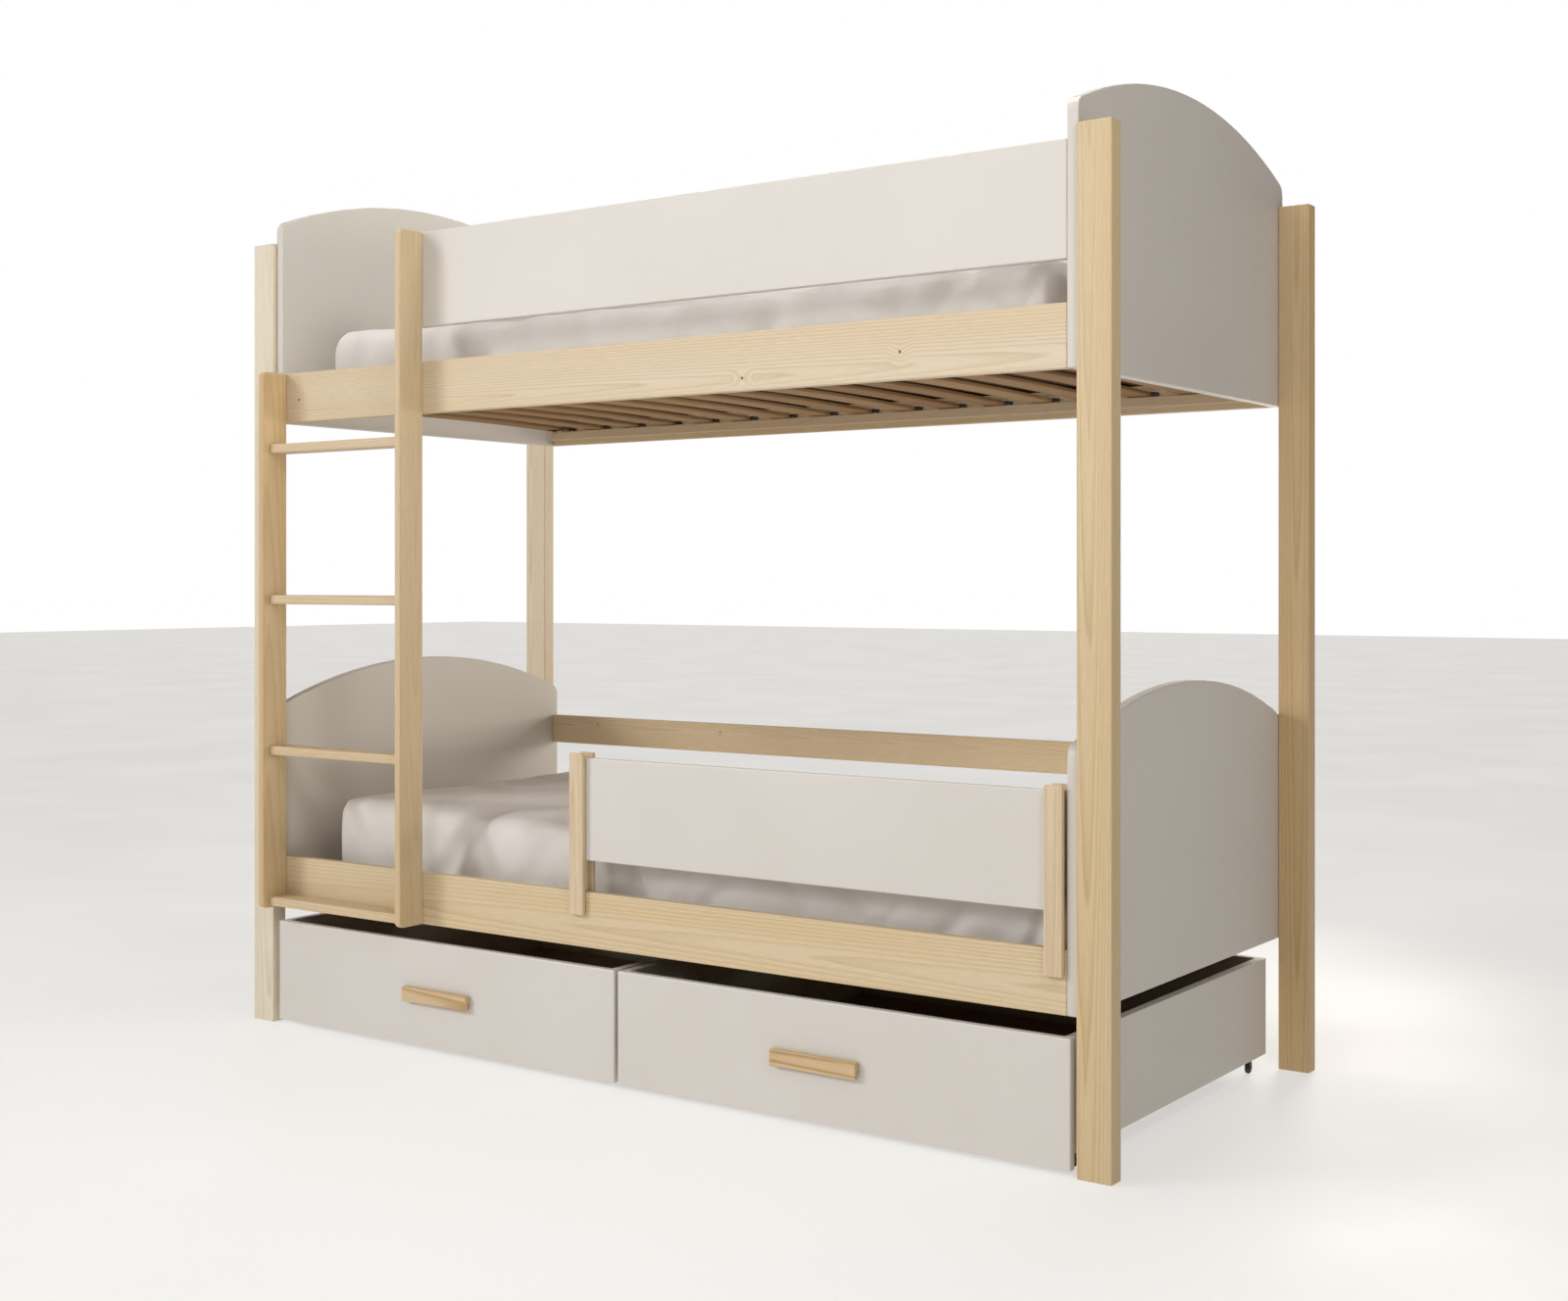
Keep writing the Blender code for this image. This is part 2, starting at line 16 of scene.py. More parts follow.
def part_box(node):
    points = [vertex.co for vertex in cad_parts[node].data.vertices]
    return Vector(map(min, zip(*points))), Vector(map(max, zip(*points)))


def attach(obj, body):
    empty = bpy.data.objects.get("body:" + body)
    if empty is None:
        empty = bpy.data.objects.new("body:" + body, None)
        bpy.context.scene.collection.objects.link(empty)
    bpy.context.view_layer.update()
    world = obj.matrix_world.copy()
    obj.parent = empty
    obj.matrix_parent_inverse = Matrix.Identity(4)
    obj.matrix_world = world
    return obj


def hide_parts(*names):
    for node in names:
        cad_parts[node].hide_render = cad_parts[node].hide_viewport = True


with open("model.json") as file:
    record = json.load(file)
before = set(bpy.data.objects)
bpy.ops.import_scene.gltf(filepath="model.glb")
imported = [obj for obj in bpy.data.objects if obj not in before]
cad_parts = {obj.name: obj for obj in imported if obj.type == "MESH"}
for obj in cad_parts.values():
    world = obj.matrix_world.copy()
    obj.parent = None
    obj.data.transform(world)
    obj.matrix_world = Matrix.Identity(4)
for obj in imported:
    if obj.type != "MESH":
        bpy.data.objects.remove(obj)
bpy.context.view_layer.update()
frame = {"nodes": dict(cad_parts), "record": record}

# %% [markdown]
# ## Camera
# The bed is seen from its right front corner, from below the middle of its height, with a level camera,
# so that all posts stay upright. A level camera that shows more floor than ceiling needs a lens shift in
# place of a tilt.

# %% Camera
EYE = Vector((2.3165, -3.1389, 0.9266))
HEADING = 0.61687                      # radians, from +Y towards -X
LENS = 44.80                           # millimetres
SENSOR_WIDTH = 36                      # millimetres
LENS_SHIFT = -0.0437                   # as a share of the frame's width, downwards

bpy.ops.object.select_all(action="DESELECT")
bpy.ops.object.camera_add(location=EYE, rotation=(math.pi / 2, 0, HEADING))
camera = bpy.context.object
camera.data.sensor_width = SENSOR_WIDTH
camera.data.lens = LENS
camera.data.shift_y = LENS_SHIFT
bpy.context.scene.camera = camera
print("camera at", [round(value, 2) for value in EYE])

# %% [markdown]
# ## Floor and light
# A white studio: a pale floor, a bright backdrop, and a soft key from the front left that throws soft
# shadows to the right and down. Soft boxes fill in: one in front and one overhead reach in between the
# two bunks, two at the right keep the end panels from going flat, and one behind lifts the inner side of
# the left end. The boxes are hidden from the camera, so that none shows as a white square. The walls are
# a world with two tones. The camera sees white all the way round, but only the far wall lights the bed as
# white: the rest is a dim, warm room, which keeps the shaded sides of the bed dark enough to read.

# %% Floor
FLOOR_SIZE = 60                        # metres

bpy.ops.object.select_all(action="DESELECT")
bpy.ops.mesh.primitive_plane_add(size=FLOOR_SIZE)
floor = bpy.context.object
floor.name = "floor"
print("the floor is", FLOOR_SIZE, "m across")

# %% Light
LAMP_WHITE = (1.0, 1.0, 1.0)
LAMP_WARM = (1.0, 0.93, 0.82)
KEY_STRENGTH = 0.84
KEY_HEIGHT = math.radians(27)          # above the horizon
KEY_SIDE = math.radians(-44)           # left of straight in front
KEY_SOFTNESS = math.radians(16)
AIM = Vector((0, 0, 0.95))             # what the soft boxes look at
BACK_SPREAD = math.radians(100)        # keeps the back box off the floor beside the bed

bpy.context.scene.view_settings.view_transform = "Standard"
bpy.ops.object.light_add(type="SUN", rotation=(math.pi / 2 - KEY_HEIGHT, 0, KEY_SIDE))
key = bpy.context.object
key.data.energy = KEY_STRENGTH
key.data.angle = KEY_SOFTNESS
key.data.color = LAMP_WHITE


def soft_box(name, spot, width, height, power, tone=LAMP_WHITE):
    """A lamp of this size in metres and power in watts, turned towards the bed."""
    bpy.ops.object.light_add(type="AREA", location=spot)
    lamp = bpy.context.object
    lamp.name = name
    lamp.rotation_euler = (AIM - Vector(spot)).to_track_quat("-Z", "Y").to_euler()
    lamp.data.shape = "RECTANGLE"
    lamp.data.size, lamp.data.size_y = width, height
    lamp.data.energy = power
    lamp.data.color = tone
    lamp.visible_camera = False


soft_box("left_box", (-2.6, -3.2, 1.9), 1.5, 1.5, 28)
soft_box("front_box", (0.35, -2.5, 1.45), 0.8, 0.8, 10.5)
soft_box("over_box", (0.2, -0.2, 3.4), 1.4, 1.2, 36)
soft_box("right_box", (2.5, -1.7, 2.5), 0.7, 0.7, 20)
soft_box("far_right_box", (3.6, -2.9, 2.9), 1.6, 1.6, 5)
soft_box("back_box", (0.5, 2.6, 1.1), 0.8, 1.0, 15, LAMP_WARM)
bpy.context.object.data.spread = BACK_SPREAD

# %% Studio walls
WHITE_WALL = (1.0, 1.0, 1.0, 1.0)
ROOM_STRENGTH = 0.15
ROOM_TONE = (1.0, 0.84, 0.68)
WALL_EDGE = (0.835, 0.862)             # cosine of the angle off the heading where the far wall ends

world = bpy.data.worlds.new("studio")
bpy.context.scene.world = world
world.use_nodes = True
sky = world.node_tree
toward = sky.nodes.new("ShaderNodeTexCoord")
facing = sky.nodes.new("ShaderNodeVectorMath")
facing.operation = "DOT_PRODUCT"
facing.inputs[1].default_value = (-math.sin(HEADING), math.cos(HEADING), 0)
share = sky.nodes.new("ShaderNodeMapRange")
share.interpolation_type = "SMOOTHSTEP"
share.inputs["From Min"].default_value = WALL_EDGE[0]
share.inputs["From Max"].default_value = WALL_EDGE[1]
walls = sky.nodes.new("ShaderNodeMix")
walls.data_type = "RGBA"
walls.inputs["A"].default_value = (*(ROOM_STRENGTH * tone for tone in ROOM_TONE), 1.0)
walls.inputs["B"].default_value = WHITE_WALL
seen_or_bright = sky.nodes.new("ShaderNodeMath")
seen_or_bright.operation = "MAXIMUM"
ray = sky.nodes.new("ShaderNodeLightPath")
sky.links.new(toward.outputs["Generated"], facing.inputs[0])
sky.links.new(facing.outputs["Value"], share.inputs["Value"])
sky.links.new(share.outputs["Result"], seen_or_bright.inputs[0])
sky.links.new(ray.outputs["Is Camera Ray"], seen_or_bright.inputs[1])
sky.links.new(seen_or_bright.outputs["Value"], walls.inputs["Factor"])
sky.links.new(walls.outputs["Result"], sky.nodes["Background"].inputs["Color"])
print("the room lights the bed at", ROOM_STRENGTH, "of the far wall")

# %% [markdown]
# ## Mixing a finish
# Every finish below is a small graph of nodes on a Principled shader. A helper that adds one node and
# wires its inputs keeps each recipe to a few readable lines: a value that is a socket is linked, and any
# other is set.


# %% A recipe for a finish
class Recipe:
    def __init__(self, name, roughness, specular=0.5):
        self.material = bpy.data.materials.new(name)
        self.material.use_nodes = True
        self.tree = self.material.node_tree
        self.shader = self.tree.nodes["Principled BSDF"]
        self.shader.inputs["Roughness"].default_value = roughness
        self.shader.inputs["Specular IOR Level"].default_value = specular

    def add(self, kind, inputs=None, **settings):
        """Adds a node of this kind. Inputs are keyed by name or number."""
        node = self.tree.nodes.new("ShaderNode" + kind)
        for key, value in settings.items():
            setattr(node, key, value)
        for key, value in (inputs or {}).items():
            if isinstance(value, bpy.types.NodeSocket):
                self.tree.links.new(value, node.inputs[key])
            else:
                node.inputs[key].default_value = value
        return node

    def math(self, operation, first, second=0.0):
        return self.add("Math", {0: first, 1: second}, operation=operation).outputs[0]

    def vector(self, operation, first, second=(0.0, 0.0, 0.0)):
        node = self.add("VectorMath", {0: first, 1: second}, operation=operation)
        return node.outputs["Value" if operation == "LENGTH" else "Vector"]

    def place(self):
        return self.add("TexCoord").outputs["Object"]

    def clouds(self, where, scale, detail=2.0):
        """Smooth noise from 0 to 1."""
        return self.add("TexNoise", {"Vector": where, "Scale": scale, "Detail": detail}).outputs[0]

    def remap(self, value, low, high, to_low=0.0, to_high=1.0):
        inputs = {0: value, 1: low, 2: high, 3: to_low, 4: to_high}
        return self.add("MapRange", inputs, interpolation_type="SMOOTHSTEP").outputs[0]

    def blend(self, share, first, second, blend_type="MIX"):
        """Mixes two colours, given as sockets or as (red, green, blue)."""
        pair = [c if isinstance(c, bpy.types.NodeSocket) else (*c, 1.0) for c in (first, second)]
        inputs = {"Factor": share, "A": pair[0], "B": pair[1]}
        node = self.tree.nodes.new("ShaderNodeMix")
        node.data_type = "RGBA"
        node.blend_type = blend_type
        for socket in node.inputs:
            value = inputs.get(socket.name) if socket.enabled else None
            if isinstance(value, bpy.types.NodeSocket):
                self.tree.links.new(value, socket)
            elif value is not None:
                socket.default_value = value
        return next(s for s in node.outputs if s.enabled)

    def colour(self, socket):
        self.tree.links.new(socket, self.shader.inputs["Base Color"])

    def rough(self, socket):
        self.tree.links.new(socket, self.shader.inputs["Roughness"])

    def relief(self, height, depth):
        """Bump of this depth in metres, where height goes from 0 to 1."""
        bump = self.add("Bump", {"Height": height, "Distance": depth, "Strength": 1.0})
        self.tree.links.new(bump.outputs[0], self.shader.inputs["Normal"])


# %% [markdown]
# ## The studio floor
# The floor is a light table: white plastic with lamps under it, so that shadows stay faint and the far
# end is as pale as the near one. It has faint clouds where it was cleaned, and a slightly uneven gloss.

# %% Floor paint
FLOOR_GLOW = 0.57
FLOOR_LIGHT, FLOOR_SHADE = (0.37, 0.37, 0.37), (0.34, 0.34, 0.335)

floor_paint = Recipe("floor_paint", roughness=0.6, specular=0.2)
roller_marks = floor_paint.clouds(floor_paint.place(), 1.3, 4.0)
floor_paint.colour(floor_paint.blend(roller_marks, FLOOR_LIGHT, FLOOR_SHADE))
floor_paint.rough(floor_paint.remap(roller_marks, 0.3, 0.7, 0.55, 0.70))
floor_paint.shader.inputs["Emission Color"].default_value = (1.0, 0.985, 0.96, 1.0)
floor_paint.shader.inputs["Emission Strength"].default_value = FLOOR_GLOW
floor.data.materials.append(floor_paint.material)
print("the floor glows at", FLOOR_GLOW)

# %% [markdown]
# ## Pine
# A board is cut out of a trunk, so its pattern is solid: growth rings are cylinders around the pith,
# which lies outside the board. Where a ring meets a wide face at a slant it draws the long pointed arches
# of plain-sawn wood, and on an edge it draws straight lines. The recipe measures each point's distance
# from a slightly leaning pith line, lets clouds push it about, and cuts that distance into rings. Each
# board gets its own pith.

# %% Pine recipe
EARLY_WOOD = (0.670, 0.545, 0.385)
LATE_WOOD = (0.470, 0.310, 0.155)
HONEY = (0.640, 0.485, 0.285)
KNOT_WOOD = (0.085, 0.045, 0.022)
FIBRE_STRETCH = 0.04                   # how slowly the pattern changes along the board
RING_SWAY = 0.011                      # how far clouds push the rings about, in metres
KNOT_REACH = 9                         # knot radii over which rings bend around a knot
KNOT_PUSH = 0.007                      # how far they bend, in metres
HAIR_SCALE = 900.0
PINE_RELIEF = 0.00008
RING_RAMP = ((0.45, 0.12), (0.78, 0.7), (0.9, 1.0))     # slow darkening, then a sharp edge
print("rings sway by up to", RING_SWAY, "m")


# %% Growth rings
def from_pith(mix, where, fibres, low, high, axes, chance):
    """How far each point is from a leaning pith line outside the board."""
    along, wide, thin = axes
    size = high - low
    split = mix.add("SeparateXYZ", {0: mix.vector("SUBTRACT", where, (low + high) / 2)})
    lean = chance.choice((-1, 1)) * chance.uniform(0.006, 0.022)
    pith_wide = chance.uniform(-0.4, 0.4) * size[wide]
    pith_thin = size[thin] / 2 + chance.uniform(0.012, 0.045)
    sideways = mix.math("ADD", split.outputs[wide], pith_wide)
    depth = mix.math("ADD", split.outputs[thin], pith_thin)
    depth = mix.math("ADD", depth, mix.math("MULTIPLY", split.outputs[along], lean))
    across = mix.add("CombineXYZ", {"X": sideways, "Y": depth}).outputs[0]
    radius = mix.vector("LENGTH", across)
    sway = mix.math("MULTIPLY", mix.clouds(fibres, 22.0, 3.0), RING_SWAY)
    return mix.math("ADD", radius, sway)


def around_knots(mix, where, radius, knots, thin):
    """Bends the rings around each knot. Returns them with the knots' dark cores, if there are any."""
    flat = [1.0, 1.0, 1.0]
    flat[thin] = 0.0
    dark = None
    for point, knot_radius in knots:
        away = mix.vector("LENGTH", mix.vector("MULTIPLY", mix.vector("SUBTRACT", where, point), flat))
        push = mix.remap(away, 0.0, KNOT_REACH * knot_radius, KNOT_PUSH, 0.0)
        radius = mix.math("ADD", radius, push)
        core = mix.remap(away, 0.55 * knot_radius, knot_radius, 1.0, 0.0)
        dark = core if dark is None else mix.math("MAXIMUM", dark, core)
    return radius, dark


def ring_lines(mix, radius, fibres, spacing, contrast):
    """A dark line to each ring, stronger in some patches than in others."""
    ring = mix.math("FRACT", mix.math("DIVIDE", radius, spacing))
    ramp = mix.add("ValToRGB", {0: ring})
    stops = ramp.color_ramp.elements
    stops[0].color = (0, 0, 0, 1)
    stops[1].color = (0, 0, 0, 1)
    for at, level in RING_RAMP:
        stops.new(at).color = (level, level, level, 1)
    patches = mix.remap(mix.clouds(fibres, 9.0), 0.3, 0.7, 0.35, 1.0)
    return mix.math("MULTIPLY", mix.math("MULTIPLY", ramp.outputs[0], patches), contrast)


# %% A pine board
def pine(name, low, high, seed, knots=(), spacing=0.0042, contrast=0.55, tint=(1, 1, 1)):
    """A lacquered pine board. knots holds (point, radius) pairs on its wide face."""
    early, late, honey = [[part * share for part, share in zip(wood_tone, tint)]
                          for wood_tone in (EARLY_WOOD, LATE_WOOD, HONEY)]
    chance = random.Random(seed)
    size = high - low
    axes = sorted(range(3), key=lambda axis: -size[axis])     # longest side first
    stretched = [1.0, 1.0, 1.0]
    stretched[axes[0]] = FIBRE_STRETCH
    mix = Recipe(name, roughness=0.52, specular=0.35)
    where = mix.place()
    fibres = mix.vector("MULTIPLY", where, stretched)
    radius = from_pith(mix, where, fibres, low, high, axes, chance)
    radius, dark = around_knots(mix, where, radius, knots, axes[2])
    line = ring_lines(mix, radius, fibres, spacing * chance.uniform(0.85, 1.2), contrast)

    tone = mix.remap(mix.clouds(fibres, 14.0), 0.35, 0.68)
    wood = mix.blend(mix.math("MULTIPLY", tone, 0.6), early, honey)
    wood = mix.blend(line, wood, late)
    hairs = mix.clouds(fibres, HAIR_SCALE, 2.0)
    shade = mix.remap(hairs, 0.25, 0.75, 0.93, 1.05)
    grey = mix.add("CombineColor", {0: shade, 1: shade, 2: shade}).outputs[0]
    wood = mix.blend(1.0, wood, grey, "MULTIPLY")
    if dark is not None:
        wood = mix.blend(dark, wood, KNOT_WOOD)
    mix.colour(wood)
    mix.rough(mix.remap(hairs, 0.2, 0.8, 0.46, 0.60))
    mix.relief(mix.math("ADD", hairs, mix.math("MULTIPLY", line, 0.8)), PINE_RELIEF)
    return mix.material


# %% Knots
RAIL_KNOTS = ((-0.8658, 1.307), (0.2855, 1.2827), (0.6097, 1.3067))     # along the bed, height
FENCE_KNOTS = ((-0.770, 0.5825), (-0.400, 0.582))
KNOTS = {                              # their middles and radii
    "upper_front_rail": [(Vector((x, 0, z)), 0.0032) for x, z in RAIL_KNOTS],
    "lower_back_fence": [(Vector((x, 0, z)), 0.0026) for x, z in FENCE_KNOTS],
    "front_left_post": [(Vector((-0.98, 0, 0.873)), 0.0028)],
}
print(sum(len(knots) for knots in KNOTS.values()), "knots on", len(KNOTS), "boards")

# %% Pine boards
slots = {part["node"]: part["material_slot"] for part in frame["record"]["subparts"]}
pine_nodes = sorted(node for node, slot in slots.items() if slot == "pine")


def dress(node, material):
    frame["nodes"][node].material_slots[0].material = material


# Tints are partly each board's own tone and partly painted light: boards that stand in bright light are
# made paler and cooler, and boards whose seen sides lie in shade darker and warmer.
TINTS_AND_PAINTED_LIGHT = {                              # each board's own tone, partly painted light
    "upper_front_rail": (1.03, 1.08, 1.16),
    "lower_front_rail": (1.00, 1.00, 0.94),
    "front_right_post": (0.95, 0.93, 0.83),
    "front_left_post": (1.13, 1.26, 1.48),
    "back_right_post": (0.97, 0.89, 0.74),
    "back_left_post": (1.18, 1.26, 1.38),
    "ladder_left_rail": (0.95, 0.88, 0.72),
    "ladder_right_rail": (0.95, 0.92, 0.84),
    "lower_back_fence": (1.10, 1.10, 1.06),
}
GRIP = {"spacing": 0.0046, "contrast": 1.7, "tint": (0.96, 0.91, 0.82)}     # strong straight grain
for number, node in enumerate(pine_nodes):
    values = {"seed": number + 1, "knots": KNOTS.get(node, ()), "tint": TINTS_AND_PAINTED_LIGHT.get(node, (1, 1, 1))}
    if node.endswith("_handle"):
        values.update(GRIP)
    dress(node, pine("pine_" + node, *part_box(node), **values))
print(len(pine_nodes), "pine boards")

# %% [markdown]
# ## Lacquer
# The panels, guards and drawers are fibreboard under a sprayed satin lacquer, one warm off-white.
# Spraying leaves a very fine orange peel, which only shows as a soft broken highlight, and the film's
# thickness varies a little from place to place, which moves its colour by a hair.


# %% Lacquer recipe
LACQUER_ROUGHNESS = 0.42
PEEL_SCALE = 420.0
PEEL_DEPTH = 0.00006


def lacquer(name, base, shadow_tone, roughness=LACQUER_ROUGHNESS):
    mix = Recipe(name, roughness)
    where = mix.place()
    drift = mix.remap(mix.clouds(where, 2.3, 3.0), 0.3, 0.7)
    mix.colour(mix.blend(drift, base, shadow_tone))
    peel = mix.clouds(where, PEEL_SCALE, 2.0)
    mix.rough(mix.remap(mix.clouds(where, 60.0), 0.3, 0.7, roughness - 0.04, roughness + 0.05))
    mix.relief(peel, PEEL_DEPTH)
    return mix.material


white_lacquer = lacquer("white_lacquer", (0.665, 0.630, 0.590), (0.640, 0.603, 0.560))
panel_lacquer = lacquer("panel_lacquer", (0.635, 0.598, 0.545), (0.610, 0.572, 0.518))
for node, slot in slots.items():
    if slot == "white_paint":
        dress(node, white_lacquer)
    elif slot == "panel_paint":
        dress(node, panel_lacquer)
print(sum(slot in ("white_paint", "panel_paint") for slot in slots.values()), "lacquered boards")

# %% [markdown]
# ## Hardboard, steel and plastic
# The drawer floors are brown hardboard, whose smooth face is mottled with pressed fibres. The castor
# forks are powder-coated steel, which has a fine pebbled skin, and the wheels are moulded plastic, a
# little uneven in its gloss. All of them are one recipe, a speckle at its own scale, so one function
# makes them. The slat stops and the screws further down take theirs from it too.


# %% Hardboard, steel and plastic
def mottled(name, base, other, roughness, scale, depth, metallic=0.0):
    mix = Recipe(name, roughness)
    mix.shader.inputs["Metallic"].default_value = metallic
    where = mix.place()
    grains = mix.clouds(where, scale, 4.0)
    mix.colour(mix.blend(mix.remap(grains, 0.3, 0.7), base, other))
    mix.rough(mix.remap(mix.clouds(where, scale / 6), 0.3, 0.7, roughness - 0.08, roughness + 0.1))
    mix.relief(grains, depth)
    return mix.material


hardboard = mottled("hardboard", (0.300, 0.200, 0.120), (0.220, 0.145, 0.088), 0.6, 700.0, 0.0001)
powder_coat = mottled("powder_coat", (0.016, 0.016, 0.017), (0.024, 0.024, 0.025), 0.45, 2600.0, 0.00005)
wheel_plastic = mottled("wheel_plastic", (0.012, 0.012, 0.012), (0.022, 0.021, 0.020), 0.5, 900.0, 0.00003)
stop_plastic = mottled("stop_plastic", (0.060, 0.040, 0.027), (0.045, 0.030, 0.020), 0.45, 900.0, 0.00003)
zinc = mottled("zinc", (0.55, 0.55, 0.54), (0.42, 0.42, 0.42), 0.35, 1500.0, 0.00002, metallic=1.0)
RECIPES = {"hardboard": hardboard, "black_steel": powder_coat, "wheel_plastic": wheel_plastic}
for node, slot in slots.items():
    if slot in RECIPES:
        dress(node, RECIPES[slot])
print(sum(slot in RECIPES for slot in slots.values()), "pieces of hardboard, steel and plastic")

# %% [markdown]
# ## Cotton
# A fitted cotton cover is plain woven, off-white and matt. The weave is finer than a millimetre, so it is
# a bump of two crossed waves, with a little slub noise, and the grazing light on its fuzz is sheen. The
# underside of a mattress is a coarser cloth without fuzz, coloured a near-black brown: that is painted
# shade, which shows as the dark gaps between the slats.


# %% Cotton recipe
COTTON = (0.760, 0.730, 0.700)
COTTON_SHADE = (0.700, 0.662, 0.625)
THREAD = 0.0009                        # from one thread to the next
CLOTH_RELIEF = 0.00025


def cotton(name, thread=THREAD, base=COTTON, shade=COTTON_SHADE, specular=0.25, fuzz=0.18):
    mix = Recipe(name, roughness=0.85, specular=specular)
    mix.shader.inputs["Sheen Weight"].default_value = fuzz
    mix.shader.inputs["Sheen Roughness"].default_value = 0.5
    where = mix.place()
    split = mix.add("SeparateXYZ", {0: where})
    turns = 2 * math.pi / thread
    warp = mix.math("SINE", mix.math("MULTIPLY", split.outputs["X"], turns))
    weft_place = mix.math("ADD", split.outputs["Y"], split.outputs["Z"])
    weft = mix.math("SINE", mix.math("MULTIPLY", weft_place, turns))
    weave = mix.math("MULTIPLY", warp, weft)
    slub = mix.clouds(where, 140.0, 3.0)
    mix.colour(mix.blend(mix.remap(mix.clouds(where, 11.0, 4.0), 0.3, 0.7), base, shade))
    mix.relief(mix.math("ADD", mix.math("MULTIPLY", weave, 0.3), slub), CLOTH_RELIEF)
    return mix.material


mattress_cotton = cotton("mattress_cotton")
# The underside's near-black brown is painted shade, standing for the shade in the gaps between the slats.
underside_painted_shade = cotton("underside_painted_shade", thread=0.0014, base=(0.110, 0.060, 0.028), shade=(0.090, 0.048, 0.022),
                    specular=0.04, fuzz=0.0)
print("the cover has", round(0.01 / THREAD), "threads to a centimetre")

# %% [markdown]
# ## Working by operators
# New pieces start as a primitive, at its size and place, and are shaped in edit mode. An operator works
# on all that is selected, so faces are picked in code first, by their place or the way they look.


# %% Helpers for modelling
def box_piece(name, low, high):
    """A cube stretched between two corners, with its place in its mesh."""
    low, high = Vector(low), Vector(high)
    bpy.ops.object.select_all(action="DESELECT")
    bpy.ops.mesh.primitive_cube_add(size=1, location=(low + high) / 2, scale=high - low)
    piece = bpy.context.object
    piece.name = name
    bpy.ops.object.transform_apply(location=True, rotation=True, scale=True)
    return piece


def only(piece):
    bpy.ops.object.select_all(action="DESELECT")
    piece.select_set(True)
    bpy.context.view_layer.objects.active = piece


def edit_faces(piece, wanted):
    """Selects the faces that wanted(face) accepts, and leaves the piece in edit mode."""
    only(piece)
    bpy.ops.object.mode_set(mode="EDIT")
    bpy.ops.mesh.select_mode(type="FACE")
    bpy.ops.mesh.select_all(action="DESELECT")
    bpy.ops.object.mode_set(mode="OBJECT")
    for face in piece.data.polygons:
        face.select = wanted(face)
    bpy.ops.object.mode_set(mode="EDIT")


def done_editing():
    bpy.ops.object.mode_set(mode="OBJECT")


def apply_modifier(piece, kind, **settings):
    """Adds a modifier with these settings and makes it real at once."""
    only(piece)
    modifier = piece.modifiers.new(kind.lower(), kind)
    for key, value in settings.items():
        setattr(modifier, key, value)
    bpy.ops.object.modifier_apply(modifier=modifier.name)


def round_edges(piece, width, segments):
    apply_modifier(piece, "BEVEL", width=width, segments=segments, limit_method="ANGLE",
                   angle_limit=math.radians(40), harden_normals=False)


def finish_piece(piece, material, body, smooth_angle=35):
    """The last steps of every piece: smooth shading, its finish and its body."""
    only(piece)
    bpy.ops.object.shade_smooth_by_angle(angle=math.radians(smooth_angle))
    piece.data.materials.clear()
    piece.data.materials.append(material)
    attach(piece, body)


def copied(piece, name, move):
    """A copy with its own mesh, moved in its mesh."""
    only(piece)
    bpy.ops.object.duplicate(linked=False)
    twin = bpy.context.object
    twin.name = name
    twin.location = move
    bpy.ops.object.transform_apply(location=True, rotation=True, scale=True)
    return twin


def joined(pieces, name):
    bpy.ops.object.select_all(action="DESELECT")
    for piece in pieces:
        piece.select_set(True)
    bpy.context.view_layer.objects.active = pieces[0]
    bpy.ops.object.join()
    bpy.context.object.name = name
    return bpy.context.object


# %% [markdown]
# ## Mattresses
# Each mattress is foam in a loose cotton cover. A box with pillowed edges is close to its size and
# nothing like its surface: the cover is a little too big for the foam, so it buckles into soft creases on
# its sides. That is a job for cloth. The pad starts a little small, is remeshed to even squares, is
# nudged by seeded folds and a few listed creases, and swells under pressure while its underside
# stays put on the slats. How far a point may move is capped.

# %% Mattress values
PAD_START = 0.006                      # smaller than its space, each side
PAD_ROUND = 0.034
PAD_VOXEL = 0.013
PAD_CAP = 0.012                        # furthest a point may travel
PAD_STRAY = 0.004                      # past its space
CLOTH_FRAMES = 20
HELD_HEIGHT = 0.004                    # points this low stay on the slats
FOLD_DEPTH = 0.008
FOLD_START = 0.020                     # folds begin this far above the underside
CREASE_FADE = 0.16                     # creases run out this far in from the front
PAINTED_SHADE_HEIGHT = 0.006                    # how far up the underside's painted shade comes

# Creases of the front side: place along the bed, lean, width and depth.
CREASES = {
    "upper_mattress": [(0.30, 0.5, 0.030, 0.006), (0.56, -0.8, 0.022, 0.008), (0.64, 0.9, 0.024, 0.008),
                       (0.75, -0.9, 0.018, 0.008), (0.83, 0.6, 0.014, 0.008), (-0.40, 0.7, 0.040, 0.004)],
    "lower_mattress": [(-0.70, -0.9, 0.020, 0.008), (-0.47, 0.9, 0.024, 0.012), (-0.38, -0.5, 0.018, 0.009),
                       (-0.25, 0.8, 0.030, 0.006), (-0.02, -0.5, 0.020, 0.015), (0.20, 0.8, 0.022, 0.007),
                       (0.33, -0.9, 0.014, 0.005), (0.46, -0.7, 0.022, 0.007), (0.58, 0.9, 0.013, 0.005),
                       (0.70, 0.8, 0.018, 0.008), (0.845, 0.3, 0.009, 0.014)],
}


# %% Folds and creases
FOLD_WAVES = (                         # strength, waves along, slanted, across and up, the seed's sign
    (0.75, 5.0, 6.0, 3.0, 2.5, 1),
    (0.40, 17.0, -13.0, 9.0, 7.0, -1),
    (0.16, 46.0, 38.0, 30.0, 24.0, 1),
)


def fold_push(point, seed):
    """How far seeded folds lift the cover at this point, from -1 to 1."""
    push = 0.0
    for strength, along, slant, across, up, sign in FOLD_WAVES:
        spot = (point.x * along + point.z * slant, point.y * across, point.z * up + sign * seed)
        push += strength * noise.noise(Vector(spot))
    return push


